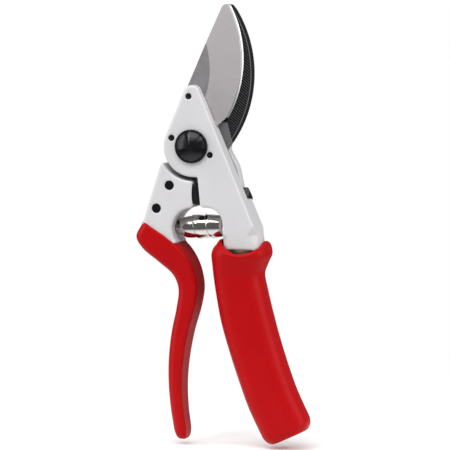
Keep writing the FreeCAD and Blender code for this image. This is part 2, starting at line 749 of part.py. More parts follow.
def latch_pad():
    """Thumb pad moulded round the lever's upper end, with ridges behind."""
    front = REAR_FACE + LATCH_GAP
    back = front + LATCH_THICKNESS + 0.9
    block = plate(PAD_OUTLINE, front, back)
    block = block.makeFillet(0.5, edges_at_depth(block, back))
    for index in range(PAD_RIDGES):
        z = PAD_OUTLINE[0][1] - 1.5 - index * PAD_PITCH
        ridge = [(20.0, z, 0), (22.3, z, 0), (22.5, z - PAD_PITCH / 2, 0), (19.8, z - PAD_PITCH / 2, 0)]
        block = block.fuse(plate(ridge, back - 0.2, back + 0.6))
    return block.cut(latch_lever()).removeSplitter()


def latch_wave_washer():
    start = REAR_FACE + LATCH_GAP + LATCH_THICKNESS + 0.05
    return ring(LATCH_PIVOT, 4.2, LATCH_SCREW_RADIUS, start, start + 0.5)


def latch_screw():
    head_front = REAR_FACE + LATCH_GAP + LATCH_THICKNESS + 0.55
    head = pillar(LATCH_PIVOT, 4.4, head_front, head_front + 2.0)
    head = head.makeFillet(0.7, edges_at_depth(head, head_front + 2.0))
    shank = pillar(LATCH_PIVOT, LATCH_SCREW_RADIUS, REAR_FACE - 5.5, head_front)
    slot = Part.makeBox(10, 1.0, 1.1, at(LATCH_PIVOT[0] - 5, head_front + 1.1, LATCH_PIVOT[1] - 0.55))
    return shank.fuse(head).cut(slot)


NODES = [
    finger_handle_forging, cutting_blade, blade_pins, pivot_bush, return_spring,
    blade_side_spring_seat, spindle_bolt, thrust_washer, spindle_end_washer,
    thumb_handle_forging, counter_blade, hook_rivets, stop_bumper, thumb_side_spring_seat,
    pivot_bolt, pivot_nut, nut_lock_segment, segment_screw, thumb_grip_sleeve,
    rotating_grip_core, rotating_grip_sleeve, upper_spindle_bush, lower_spindle_bush,
    thumb_latch, latch_pad, latch_wave_washer, latch_screw,
]

os.makedirs("parts", exist_ok=True)
for build in NODES:
    shape = build()
    solids = len(shape.Solids)
    print(build.__name__, "solids", solids, "valid", shape.isValid(), "volume", round(shape.Volume, 1))
    shape.exportStep("parts/" + build.__name__ + ".step")
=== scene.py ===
import json
import math

import bpy
import numpy as np
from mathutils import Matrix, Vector

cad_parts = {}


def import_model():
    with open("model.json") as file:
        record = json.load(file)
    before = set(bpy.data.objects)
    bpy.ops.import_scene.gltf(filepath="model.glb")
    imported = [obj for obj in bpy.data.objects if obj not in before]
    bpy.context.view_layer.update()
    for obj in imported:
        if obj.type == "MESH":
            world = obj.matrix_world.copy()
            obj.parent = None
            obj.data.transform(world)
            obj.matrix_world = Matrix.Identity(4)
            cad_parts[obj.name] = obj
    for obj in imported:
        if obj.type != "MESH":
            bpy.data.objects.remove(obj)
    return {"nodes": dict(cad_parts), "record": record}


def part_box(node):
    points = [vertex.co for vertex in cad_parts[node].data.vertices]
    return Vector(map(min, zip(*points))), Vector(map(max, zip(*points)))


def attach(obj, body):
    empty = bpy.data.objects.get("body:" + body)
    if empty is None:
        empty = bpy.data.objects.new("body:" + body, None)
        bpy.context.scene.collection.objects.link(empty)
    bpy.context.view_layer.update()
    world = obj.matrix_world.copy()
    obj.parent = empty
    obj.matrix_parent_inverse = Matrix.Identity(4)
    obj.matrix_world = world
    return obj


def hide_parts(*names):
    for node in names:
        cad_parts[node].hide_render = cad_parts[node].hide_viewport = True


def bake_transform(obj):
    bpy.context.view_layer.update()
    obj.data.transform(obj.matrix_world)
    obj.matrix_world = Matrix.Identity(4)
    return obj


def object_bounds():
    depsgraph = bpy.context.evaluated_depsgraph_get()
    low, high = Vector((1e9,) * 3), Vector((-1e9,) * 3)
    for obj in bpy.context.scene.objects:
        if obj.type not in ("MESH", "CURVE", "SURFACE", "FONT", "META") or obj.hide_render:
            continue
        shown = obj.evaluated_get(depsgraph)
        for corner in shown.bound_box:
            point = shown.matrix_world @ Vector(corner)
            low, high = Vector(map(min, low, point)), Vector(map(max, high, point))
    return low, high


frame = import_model()
CAD_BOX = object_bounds()

# Metres, in the CAD frame: Z up along the tool, X to the right as the blade
# faces the viewer, Y away from the viewer, the jaws' axis on x = 0, z = 0.
MM = 0.001


# ---- places read from the frame ------------------------------------------------
def middle(node):
    low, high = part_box(node)
    return (Vector(low) + Vector(high)) / 2


MID_DEPTH = middle("return_spring").y
SHEAR_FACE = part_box("counter_blade")[0][1]


# Places across and along for the hook (outer arc, cutting edge, bevel between them,
# raised rim, facet by the pivot) and for the blade (grinding arc, bevel, painted highlight on the edge).
HOOK_CENTRE = Vector((-29.9, 34.6)) * MM
HOOK_EDGE_CENTRE = Vector((-32.4, 41.4)) * MM
HOOK_EDGE_RADIUS = 53.5 * MM
BEVEL_START = 48.2 * MM
BEVEL_END = 56.3 * MM
BEVEL_FALL = 1.1 * MM
RIM_START = 56.5 * MM
BLADE_BEVEL = 54.75 * MM
# Past this radius the blade's edge is painted as a highlight. It is full above GLINT_FADE_HIGH and fades
# out below GLINT_FADE_LOW.
BLADE_GLINT = 55.2 * MM
GLINT_FADE_LOW = 12.0 * MM
GLINT_FADE_HIGH = 30.0 * MM
GRIND_CENTRE = Vector((-32.7, 36.9)) * MM
GRIND_RADIUS = 40.0 * MM
FACET_TOP = Vector((14.8, 12.7)) * MM
FACET_FOOT = Vector((17.6, 1.0)) * MM
FACET_CEILING = 11.2 * MM
RIDGE_HALF_WIDTH = 0.22 * MM
FACET_RUN = (FACET_FOOT - FACET_TOP).normalized()
FACET_SIDE = Vector((-FACET_RUN.y, FACET_RUN.x))


# ---- node-tree helpers -----------------------------------------------------------
class Paint:
    """A material with one principled shader and a few shared building blocks."""

    def __init__(self, name, colour, roughness, metallic=0.0):
        self.material = bpy.data.materials.new(name)
        self.material.use_nodes = True
        self.tree = self.material.node_tree
        self.shader = self.tree.nodes["Principled BSDF"]
        self.set("Base Color", (*colour, 1.0))
        self.set("Roughness", roughness)
        self.set("Metallic", metallic)
        self.place = self.node("ShaderNodeTexCoord").outputs["Object"]

    def node(self, kind, **settings):
        made = self.tree.nodes.new(kind)
        for key, value in settings.items():
            setattr(made, key, value)
        return made

    def set(self, socket, value):
        self.shader.inputs[socket].default_value = value

    def link(self, source, target):
        self.tree.links.new(source, target)

    def feed(self, source, socket):
        self.link(source, self.shader.inputs[socket])

    def math(self, operation, first, second=None, third=None):
        made = self.node("ShaderNodeMath", operation=operation)
        for index, value in enumerate((first, second, third)):
            if value is None:
                continue
            if isinstance(value, (int, float)):
                made.inputs[index].default_value = value
            else:
                self.link(value, made.inputs[index])
        return made.outputs[0]

    def noise(self, scale, detail=3.0, place=None, roughness=0.5):
        made = self.node("ShaderNodeTexNoise")
        made.inputs["Scale"].default_value = scale
        made.inputs["Detail"].default_value = detail
        made.inputs["Roughness"].default_value = roughness
        self.link(place or self.place, made.inputs["Vector"])
        return made.outputs["Fac"]

    def spread(self, source, low, high):
        """Maps a value between 0 and 1 to a range."""
        made = self.node("ShaderNodeMapRange")
        self.link(source, made.inputs["Value"])
        made.inputs["To Min"].default_value = low
        made.inputs["To Max"].default_value = high
        return made.outputs["Result"]

    def blend(self, factor, first, second):
        made = self.node("ShaderNodeMix", data_type="RGBA")
        self.link(factor, made.inputs["Factor"])
        for socket, value in ((6, first), (7, second)):
            if isinstance(value, tuple):
                made.inputs[socket].default_value = (*value, 1.0)
            else:
                self.link(value, made.inputs[socket])
        return made.outputs[2]

    def bump(self, height, strength, distance):
        made = self.node("ShaderNodeBump")
        made.inputs["Strength"].default_value = strength
        made.inputs["Distance"].default_value = distance
        self.link(height, made.inputs["Height"])
        return made.outputs["Normal"]

    def axes(self):
        made = self.node("ShaderNodeSeparateXYZ")
        self.link(self.place, made.inputs[0])
        return made.outputs

    def radius_about(self, centre):
        """Distance from a point in the XZ plane, and the angle round it."""
        x, _, z = self.axes()
        across = self.math("SUBTRACT", x, centre[0])
        along = self.math("SUBTRACT", z, centre[1])
        square = self.math("MULTIPLY_ADD", across, across, self.math("MULTIPLY", along, along))
        return self.math("SQRT", square), self.math("ARCTAN2", along, across)


def light_paint():
    paint = Paint("light_paint", (0.51, 0.503, 0.513), 0.38)
    tone = paint.noise(60.0, 2.0)
    tone = paint.spread(tone, 0.0, 1.0)
    paint.feed(paint.blend(tone, (0.485, 0.478, 0.488), (0.535, 0.527, 0.538)), "Base Color")
    paint.feed(paint.spread(paint.noise(900.0, 2.0), 0.30, 0.46), "Roughness")
    peel = paint.noise(1400.0, 2.0)
    paint.feed(paint.bump(peel, 0.10, 0.00012), "Normal")
    paint.set("Coat Weight", 0.15)
    paint.set("Coat Roughness", 0.3)
    return paint.material


def red_vinyl():
    paint = Paint("red_vinyl", (0.44, 0.0015, 0.003), 0.36)
    tone = paint.noise(45.0, 2.0)
    tone = paint.spread(tone, 0.0, 1.0)
    paint.feed(paint.blend(tone, (0.325, 0.0008, 0.0020), (0.375, 0.0014, 0.0032)), "Base Color")
    paint.feed(paint.spread(paint.noise(700.0, 3.0), 0.34, 0.5), "Roughness")
    skin = paint.noise(500.0, 3.0)
    paint.feed(paint.bump(skin, 0.08, 0.0002), "Normal")
    paint.set("Specular IOR Level", 0.09)
    return paint.material


def blade_steel():
    """Steel: an unground web, a face streaked round the edge's centre, a bevel, and a painted highlight
    along the edge that fades out lower down.
    """
    paint = Paint("blade_steel", (0.40, 0.39, 0.39), 0.34, 0.55)
    distance, turn = paint.radius_about(HOOK_EDGE_CENTRE)
    ground = paint.math("GREATER_THAN", paint.radius_about(GRIND_CENTRE)[0], GRIND_RADIUS)
    height = paint.axes()[2]
    # The painted highlight's strength by height: none low on the blade, full towards the tip.
    sheen = paint.node("ShaderNodeMapRange", interpolation_type="SMOOTHSTEP")
    paint.link(height, sheen.inputs["Value"])
    sheen.inputs["From Min"].default_value = GLINT_FADE_LOW
    sheen.inputs["From Max"].default_value = GLINT_FADE_HIGH
    bevel = paint.math("GREATER_THAN", distance, BLADE_BEVEL)
    glint = paint.math("GREATER_THAN", distance, BLADE_GLINT)
    glint = paint.math("MULTIPLY", glint, sheen.outputs["Result"])
    combine = paint.node("ShaderNodeCombineXYZ")
    paint.link(paint.math("MULTIPLY", distance, 90.0), combine.inputs[0])
    paint.link(paint.math("MULTIPLY", turn, 260.0), combine.inputs[1])
    streaks = paint.noise(1.0, 4.0, combine.outputs[0], 0.65)
    face = paint.blend(paint.spread(streaks, 0.1, 0.9), (0.42, 0.397, 0.401), (0.65, 0.621, 0.627))
    mill = paint.noise(220.0, 4.0)
    raw = paint.blend(paint.spread(mill, 0.0, 1.0), (0.22, 0.212, 0.220), (0.36, 0.345, 0.355))
    colour = paint.blend(ground, raw, face)
    colour = paint.blend(bevel, colour, (0.30, 0.285, 0.288))
    # Painted highlight: a pale grey laid along the edge.
    colour = paint.blend(glint, colour, (0.72, 0.72, 0.72))
    paint.feed(colour, "Base Color")
    paint.feed(paint.spread(streaks, 0.32, 0.50), "Roughness")
    paint.feed(paint.bump(streaks, 0.25, 0.00008), "Normal")
    return paint.material


def hook_coating(highlight_lift=0.0):
    """Black coating, lighter on the rim's ridge and the ground facet; the argument lifts the whole tone, a
    painted highlight where the ribs use it.
    """
    paint = Paint("hook_coating", (0.012, 0.012, 0.014), 0.45)
    speckle = paint.noise(1600.0, 3.0)
    # The lift raises both ends of the speckle; the ribs use it as a painted highlight.
    darker = (0.003 + highlight_lift, 0.003 + highlight_lift, 0.004 + highlight_lift)
    lighter = (0.009 + 1.4 * highlight_lift, 0.009 + 1.4 * highlight_lift, 0.011 + 1.45 * highlight_lift)
    tone = paint.blend(paint.spread(speckle, 0.0, 1.0), darker, lighter)
    x, _, z = paint.axes()
    distance, _ = paint.radius_about(HOOK_CENTRE)
    rim = paint.math("GREATER_THAN", distance, RIM_START)
    ridge = paint.math("COMPARE", distance, RIM_START, RIDGE_HALF_WIDTH)
    over = paint.math("MULTIPLY_ADD", paint.math("SUBTRACT", x, FACET_TOP.x), -FACET_SIDE.x,
                      paint.math("MULTIPLY", paint.math("SUBTRACT", z, FACET_TOP.y), -FACET_SIDE.y))
    beyond = paint.math("GREATER_THAN", over, 0.0)
    facet = paint.math("MULTIPLY", beyond, paint.math("LESS_THAN", z, FACET_CEILING))
    tone = paint.blend(paint.math("MULTIPLY", rim, 0.8), tone, (0.014, 0.014, 0.015))
    tone = paint.blend(paint.math("MULTIPLY", ridge, 0.85), tone, (0.11, 0.11, 0.113))
    tone = paint.blend(paint.math("MULTIPLY", facet, 0.85), tone, (0.13, 0.128, 0.132))
    paint.feed(tone, "Base Color")
    paint.feed(paint.spread(speckle, 0.36, 0.52), "Roughness")
    paint.feed(paint.bump(speckle, 0.15, 0.00012), "Normal")
    paint.set("Specular IOR Level", 0.08)
    return paint.material


def black_steel():
    """Blackened steel turned in rings about the pivot, so lights draw out into wedges."""
    paint = Paint("black_steel", (0.03, 0.03, 0.034), 0.2, 0.9)
    distance, turn = paint.radius_about((0.0, 0.0))
    combine = paint.node("ShaderNodeCombineXYZ")
    paint.link(paint.math("MULTIPLY", distance, 2600.0), combine.inputs[0])
    paint.link(paint.math("MULTIPLY", turn, 1.2), combine.inputs[1])
    rings = paint.noise(1.0, 3.0, combine.outputs[0], 0.6)
    paint.feed(paint.blend(rings, (0.008, 0.008, 0.010), (0.060, 0.060, 0.065)), "Base Color")
    paint.feed(paint.spread(rings, 0.16, 0.30), "Roughness")
    paint.feed(paint.bump(rings, 0.2, 0.00004), "Normal")
    paint.set("Anisotropic", 0.97)
    paint.set("Anisotropic Rotation", 0.25)
    tangent = paint.node("ShaderNodeTangent", direction_type="RADIAL", axis="Y")
    paint.feed(tangent.outputs[0], "Tangent")
    paint.set("Specular IOR Level", 0.1)
    return paint.material


def metal(name, colour, roughness, grain, grain_depth=0.1):
    paint = Paint(name, colour, roughness, 1.0)
    spots = paint.noise(grain, 4.0, roughness=0.6)
    darker = tuple(0.78 * c for c in colour)
    lighter = tuple(min(1.0, 1.1 * c) for c in colour)
    paint.feed(paint.blend(paint.spread(spots, 0.0, 1.0), darker, lighter), "Base Color")
    paint.feed(paint.spread(spots, roughness * 0.8, roughness * 1.25), "Roughness")
    paint.feed(paint.bump(spots, grain_depth, 0.00008), "Normal")
    return paint.material


def moulded(name, colour, roughness, grain):
    paint = Paint(name, colour, roughness)
    spots = paint.noise(grain, 3.0)
    lighter = tuple(1.6 * c for c in colour)
    paint.feed(paint.blend(paint.spread(spots, 0.0, 1.0), colour, lighter), "Base Color")
    paint.feed(paint.spread(spots, roughness * 0.85, roughness * 1.15), "Roughness")
    paint.feed(paint.bump(spots, 0.2, 0.0001), "Normal")
    paint.set("Specular IOR Level", 0.2)
    return paint.material


MATERIALS = {
    "light_paint": light_paint(),
    "red_vinyl": red_vinyl(),
    "blade_steel": blade_steel(),
    "hook_coating": hook_coating(),
    "black_steel": black_steel(),
    "plated_steel": metal("plated_steel", (0.52, 0.51, 0.48), 0.32, 800.0),
    "seat_steel": metal("seat_steel", (0.42, 0.42, 0.43), 0.4, 900.0),
    "spring_chrome": metal("spring_chrome", (0.62, 0.60, 0.58), 0.14, 600.0, 0.03),
    "bronze": metal("bronze", (0.62, 0.42, 0.20), 0.3, 900.0),
    "bumper_rubber": moulded("bumper_rubber", (0.005, 0.005, 0.006), 0.5, 1500.0),
    "latch_steel": metal("latch_steel", (0.42, 0.42, 0.43), 0.36, 500.0),
    "black_plastic": moulded("black_plastic", (0.007, 0.007, 0.008), 0.42, 1800.0),
    "bare_aluminium": metal("bare_aluminium", (0.72, 0.72, 0.73), 0.42, 700.0),
}

# The hook's ribs share the coating's slot, in a lighter version: a painted highlight on the ribs, against
# the darker coating between them.
RIB_HIGHLIGHT_COATING = hook_coating(0.045)


# ---- pieces ----------------------------------------------------------------------
def piece(name, mesh, body, slot, *replaced):
    """Links a finished mesh, dresses it, parents it to its body's empty when a body is given, and hides
    the nodes it replaces.
    """
    made = bpy.data.objects.new(name, mesh)
    bpy.context.scene.collection.objects.link(made)
    mesh.polygons.foreach_set("use_smooth", [True] * len(mesh.polygons))
    mesh.materials.clear()
    mesh.materials.append(MATERIALS[slot])
    if body:
        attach(made, body)
    if replaced:
        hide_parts(*replaced)
    return made


def settled(obj):
    """The object's mesh with its modifiers applied; the object goes."""
    graph = bpy.context.evaluated_depsgraph_get()
    mesh = bpy.data.meshes.new_from_object(obj.evaluated_get(graph))
    bpy.data.objects.remove(obj)
    return mesh


SMOOTHING = 0.5
# Voxel size and rounds of smoothing.
FORGING_SOFTNESS = (0.34 * MM, 8)
BUMPER_SOFTNESS = (0.3 * MM, 14)
PAD_SOFTNESS = (0.2 * MM, 12)


def softened(node, body, slot, voxel, rounds):
    """A CAD node's shape with the soft edges that paint or moulding gives."""
    source = bpy.data.objects.new(node + "_source", frame["nodes"][node].data.copy())
    bpy.context.scene.collection.objects.link(source)
    remesh = source.modifiers.new("remesh", "REMESH")
    remesh.mode = "VOXEL"
    remesh.voxel_size = voxel
    smooth = source.modifiers.new("smooth", "SMOOTH")
    smooth.factor = SMOOTHING
    smooth.iterations = rounds
    piece(node + "_skin", settled(source), body, slot, node)


def add_tube(points, faces, rings):
    """Adds quads between rings of points, capped at both ends."""
    base, count = len(points), len(rings[0])
    points.extend(tuple(point) for ring in rings for point in ring)
    for row in range(len(rings) - 1):
        here, below = base + row * count, base + (row + 1) * count
        for column in range(count):
            beside = (column + 1) % count
            faces.append((here + column, here + beside, below + beside, below + column))
    last = len(points) - count
    faces.append(tuple(base + column for column in reversed(range(count))))
    faces.append(tuple(last + column for column in range(count)))


# Volute spring: a flat strip whose turns lap over each other like shingles. The
# barrel gives the strip's outer radius along the axis, in mm; the section gives
# places across the strip's width, on its outer face and then back on its inner one.
SPRING_PITCH = 6.6 * MM
STRIP_WIDTH = 8.0 * MM
STRIP_THICKNESS = 0.45 * MM
STRIP_TILT = 0.34 * MM
STRIP_SOFTNESS = 0.09 * MM
STRIP_START = 0.2
STRIP_OUTSIDE = (-1.0, -0.92, -0.3, 0.3, 0.92, 1.0)
SPRING_BARREL = [(0.0, 2.1), (1.5, 2.9), (4.0, 4.2), (7.0, 5.2),
                 (12.0, 5.6), (20.0, 5.55), (24.0, 5.2), (26.5, 4.6)]
SPRING_DROP = 0.35 * MM
SPRING_END_GAP = 0.25 * MM
LEFT_SEAT_INSET = 0.4 * MM
RIGHT_SEAT_INSET = 3.4 * MM
STEPS_PER_TURN = 72


def strip_section(centre, length, places):
    """Places along the axis and radii of the strip's section, round both its faces."""
    section = []
    for edge, outer in [(e, True) for e in STRIP_OUTSIDE] + [(e, False) for e in reversed(STRIP_OUTSIDE)]:
        along = min(max(centre + edge * STRIP_WIDTH / 2, SPRING_END_GAP), length - SPRING_END_GAP)
        radius = float(np.interp(along, places[:, 0], places[:, 1])) - STRIP_TILT * edge
        soft = STRIP_SOFTNESS if abs(edge) == 1.0 else 0.0
        section.append((along, radius - soft if outer else radius - STRIP_THICKNESS + soft))
    return section


def return_spring():
    left, right = [
        Vector((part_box(seat)[0][0] + inset, MID_DEPTH, middle(seat).z - SPRING_DROP))
        for seat, inset in (("thumb_side_spring_seat", LEFT_SEAT_INSET),
                            ("blade_side_spring_seat", RIGHT_SEAT_INSET))
    ]
    axis = (right - left).normalized()
    length = (right - left).length
    side = Vector((0, -1, 0))
    up = axis.cross(side)
    places = np.array(SPRING_BARREL) * MM
    first = STRIP_WIDTH * STRIP_START
    turns = (length - 2 * first) / SPRING_PITCH
    rings = []
    for step in range(int(turns * STEPS_PER_TURN) + 1):
        angle = 2 * math.pi * step / STEPS_PER_TURN
        centre = first + SPRING_PITCH * step / STEPS_PER_TURN
        around = side * math.cos(angle) + up * math.sin(angle)
        section = strip_section(centre, length, places)
        rings.append([left + axis * along + around * radius for along, radius in section])
    points, faces = [], []
    add_tube(points, faces, rings)
    mesh = bpy.data.meshes.new("volute_spring")
    mesh.from_pydata(points, [], faces)
    made = piece("volute_spring", mesh, None, "spring_chrome", "return_spring")
    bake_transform(made)


# The grip sleeves are swept through stations, top to bottom. Each gives the middle
# across and along in mm, the lean in degrees, and the half width and half depth in mm.
THUMB_STATIONS = [
    (-19.0, -33.0, 0, 4.6, 10.2), (-19.6, -38.0, 0, 6.2, 10.2), (-19.8, -44.0, 0, 8.8, 10.2),
    (-15.2, -50.0, 0, 10.0, 9.9), (-9.5, -56.0, 0, 8.3, 9.1), (-4.9, -62.0, 0, 6.0, 8.4),
    (-3.0, -69.0, 0, 5.1, 8.0), (-4.2, -78.0, 0, 4.9, 7.8), (-7.2, -90.0, 0, 4.5, 7.5),
    (-9.1, -102.0, 0, 4.1, 7.2), (-9.8, -114.0, 0, 3.7, 6.9), (-9.2, -126.0, 0, 3.5, 6.5),
    (-7.8, -136.0, 0, 3.4, 6.1),
]
THUMB_END = 6.2
THUMB_CAP_DRIFT = 0.14
THUMB_CAP_SHRINK = 0.4
THUMB_INNER_CORNER = 2.2
THUMB_INNER_SHARE = 0.6
THUMB_OUTER_CORNER = 4.6
THUMB_FLAT = 0.3
FINGER_STATIONS = [
    (23.5, -44.0, 0, 10.6, 10.6), (23.4, -46.2, 0, 12.0, 11.8), (22.9, -49.0, 0, 13.6, 13.2),
    (22.5, -52.0, 0, 14.1, 13.4), (21.9, -56.0, 2, 13.2, 12.4), (21.3, -62.0, 5, 12.0, 11.2),
    (22.6, -70.0, 9, 12.1, 10.6), (25.2, -82.0, 13, 12.4, 10.3), (28.9, -95.0, 17, 12.3, 10.2),
    (33.5, -109.0, 19, 12.2, 10.2), (38.2, -121.5, 22, 12.2, 10.0), (44.3, -134.0, 25, 12.1, 9.7),
]
FINGER_END = 6.0
FINGER_CAP_SHRINK = 0.62
FINGER_CORNER_SHARE = 0.82
ROWS_PER_STATION = 12
CAP_TURNS = range(6, 91, 6)
ARC_POINTS = 14
FLAT_POINTS = 8


def spline(stations, place):
    """Smooth values at a fractional station number, by Hermite curves along the height."""
    table = np.array(stations, dtype=float)
    index = min(int(place), len(table) - 2)
    share = place - index
    before = table[max(index - 1, 0)]
    start, end = table[index], table[index + 1]
    after = table[min(index + 2, len(table) - 1)]
    width = end[1] - start[1]
    enter = (end - before) / (end[1] - before[1]) * width
    leave = (after - start) / (after[1] - start[1]) * width
    square, cube = share * share, share ** 3
    return ((2 * cube - 3 * square + 1) * start + (cube - 2 * square + share) * enter
            + (3 * square - 2 * cube) * end + (cube - square) * leave)


def rounded_ring(half_width, half_depth, inner, outer):
    """Round-cornered rectangle; inner is the corner radius on the +across side."""
    corners = ((1, 1, inner), (-1, 1, outer), (-1, -1, outer), (1, -1, inner))
    arcs = []
    for quarter, (across, deep, radius) in enumerate(corners):
        x, y = across * (half_width - radius), deep * (half_depth - radius)
        arc = []
        for step in range(ARC_POINTS + 1):
            angle = 0.5 * math.pi * (quarter + step / ARC_POINTS)
            arc.append((x + radius * math.cos(angle), y + radius * math.sin(angle)))
        arcs.append(arc)
    points = []
    for arc, following in zip(arcs, arcs[1:] + arcs[:1]):
        points.extend(arc)
        for step in range(1, FLAT_POINTS):
            share = step / FLAT_POINTS
            points.append(tuple(a * (1 - share) + b * share for a, b in zip(arc[-1], following[0])))
    return points


def thumb_ring(half_width, half_depth):
    inner = min(THUMB_INNER_CORNER, THUMB_INNER_SHARE * half_width)
    outer = min(THUMB_OUTER_CORNER, 2 * half_width - inner - THUMB_FLAT)
    return rounded_ring(half_width, half_depth, inner, outer)


def finger_ring(half_width, half_depth):
    radius = FINGER_CORNER_SHARE * min(half_width, half_depth)
    return rounded_ring(half_width, half_depth, radius, radius)


def placed(ring, x, z, lean):
    """A ring's points in mm, moved to their place in the frame."""
    tilt = math.radians(lean)
    run, rise = math.cos(tilt), math.sin(tilt)
    return [Vector((x + u * run, MID_DEPTH / MM + v, z + u * rise)) * MM for u, v in ring]


def grip_rings(stations, section, end, drift, shrink_to):
    """Rings down a grip, finished by a rounded cap."""
    rings = []
    spans = len(stations) - 1
    for step in range(spans * ROWS_PER_STATION + 1):
        x, z, lean, width, depth = spline(stations, step / ROWS_PER_STATION)
        rings.append(placed(section(width, depth), x, z, lean))
    x, z, lean, width, depth = stations[-1]
    tilt = math.radians(lean)
    for turn in CAP_TURNS:
        drop = math.sin(math.radians(turn)) * end
        shrink = shrink_to + (1 - shrink_to) * math.cos(math.radians(turn))
        rings.append(placed(section(width * shrink, depth * shrink), x + drop * (drift + math.sin(tilt)),
                            z - drop * math.cos(tilt), lean))
    return rings


# The rolled lip at a sleeve's mouth, and the skirt that runs down inside it.
LIP_STEPS = range(0, 180, 15)
LIP_WALL = 1.9 * MM
LIP_CORNER = 0.62
LIP_SKIRT = 3.0 * MM
THUMB_LIP = 1.0 * MM
FINGER_LIP = 1.3 * MM


def cut_column(line, above):
    """One column of a grip from the point where it crosses its upper edge."""
    first = next(index for index in range(len(line)) if above(line[index]) < 0)
    if first == 0:
        return line
    high, low = line[first - 1], line[first]
    return [high.lerp(low, above(high) / (above(high) - above(low)))] + line[first:]


def even_points(line, skip, count):
    """The column's points spread evenly by length, starting a little way down."""
    table = np.array([tuple(point) for point in line])
    lengths = np.concatenate(([0.0], np.cumsum(np.linalg.norm(np.diff(table, axis=0), axis=1))))
    samples = np.linspace(skip, lengths[-1], count)
    return [Vector([float(np.interp(at, lengths, table[:, axis])) for axis in range(3)]) for at in samples]


def sleeve(name, rings, above, inner_point, lip, body, node):
    """Grip skin cut where above() holds, with a rolled lip running into the mouth."""
    count = len(rings[0])
    lines = [cut_column([ring[column] for ring in rings], above) for column in range(count)]
    edges = [line[0] for line in lines]
    columns = []
    for column, line in enumerate(lines):
        inside = inner_point(edges, column)
        height = min(lip, 0.5 * (edges[column] - inside).length)
        outer = even_points(line, height, len(rings))
        inside = Vector((inside.x, inside.y, outer[0].z))
        centre, reach = (outer[0] + inside) / 2, (outer[0] - inside) / 2
        rise = []
        for turn in LIP_STEPS:
            angle = math.radians(180 - turn)
            rise.append(centre + reach * math.cos(angle) + Vector((0, 0, height * math.sin(angle))))
        skirt = [inside - Vector((0, 0, LIP_SKIRT)), inside - Vector((0, 0, LIP_SKIRT / 3))]
        columns.append(skirt + rise + outer)
    rows = len(columns[0])
    points = [tuple(columns[column][row]) for row in range(rows) for column in range(count)]
    faces = []
    for row in range(rows - 1):
        for column in range(count):
            beside = (column + 1) % count
            faces.append((row * count + beside, row * count + column,
                          (row + 1) * count + column, (row + 1) * count + beside))
    faces.append(tuple((rows - 1) * count + column for column in reversed(range(count))))
    mesh = bpy.data.meshes.new(name)
    mesh.from_pydata(points, [], faces)
    piece(name, mesh, body, "red_vinyl", node)


# The revolving grip's saddle rim, its mouth and the spindle it turns on.
RIM_LOW = Vector((24.6, -50.9)) * MM
RIM_RISE = 3.3 * MM
RIM_HALF_SPAN = 10.5 * MM
RIM_SHOULDER = 2.4 * MM
RIM_SHOULDER_DEPTH = 8.0 * MM
RIM_TOP = -44.9 * MM
MOUTH_RADIUS = 10.3 * MM
MOUTH_WALL = 0.25 * MM
SPINDLE_TOP = Vector((23.6, -49.0)) * MM
SPINDLE_TILT = math.radians(8.0)


def above_saddle(point):
    """Height over the rim: low at front and back, with a shoulder at each side."""
    rim = RIM_LOW.y + RIM_RISE * ((point.x - RIM_LOW.x) / RIM_HALF_SPAN) ** 2
    aside = max(0.0, 1.0 - ((point.y - MID_DEPTH) / RIM_SHOULDER_DEPTH) ** 2)
    return point.z - min(rim + RIM_SHOULDER * aside ** 2, RIM_TOP)


def mouth_point(edges, column):
    """The round mouth's nearest point to the edge, at the same height."""
    edge = edges[column]
    drop = SPINDLE_TOP.y - edge.z
    centre = Vector((SPINDLE_TOP.x + drop * math.tan(SPINDLE_TILT), MID_DEPTH, edge.z))
    away = edge - centre
    radius = min(MOUTH_RADIUS, away.length - MOUTH_WALL)
    return centre + away.normalized() * radius


# The thumb sleeve's slanted upper edge, across and along in mm, and the tongue that
# rises on the side towards the other grip.
THUMB_EDGE = [(-40.0, -38.5), (-25.2, -36.4), (-22.0, -38.0), (-18.5, -40.2), (-14.5, -42.9),
              (-11.4, -45.3), (-8.9, -47.3), (-8.1, -47.2), (0.0, -41.0), (20.0, -41.0)]
THUMB_TONGUE = 2.6 * MM
THUMB_TONGUE_START = -10.0 * MM
THUMB_HALF_DEPTH = 9.6 * MM


def above_thumb_edge(point):
    """Height over the slanted edge or, on the inner side, over its tongue."""
    table = np.array(THUMB_EDGE) * MM
    edge = float(np.interp(point.x, table[:, 0], table[:, 1]))
    if point.x > THUMB_TONGUE_START:
        edge += THUMB_TONGUE * max(0.0, 1.0 - ((point.y - MID_DEPTH) / THUMB_HALF_DEPTH) ** 2)
    return point.z - edge


def wall_point(edges, column):
    """A wall's thickness in from the edge, square to it, thinner over a corner."""
    along = edges[(column + 1) % len(edges)] - edges[column - 1]
    outward = Vector((along.y, -along.x, 0)).normalized()
    corner = abs(2 * outward.x * outward.y)
    return edges[column] - outward * LIP_WALL * (1 - LIP_CORNER * corner)


def grip_sleeves():
    thumb = grip_rings(THUMB_STATIONS, thumb_ring, THUMB_END, THUMB_CAP_DRIFT, THUMB_CAP_SHRINK)
    sleeve("thumb_vinyl_sleeve", thumb, above_thumb_edge, wall_point, THUMB_LIP,
           "thumb_side", "thumb_grip_sleeve")
    finger = grip_rings(FINGER_STATIONS, finger_ring, FINGER_END, 0.0, FINGER_CAP_SHRINK)
    sleeve("finger_vinyl_sleeve", finger, above_saddle, mouth_point, FINGER_LIP,
           "revolving_grip", "rotating_grip_sleeve")


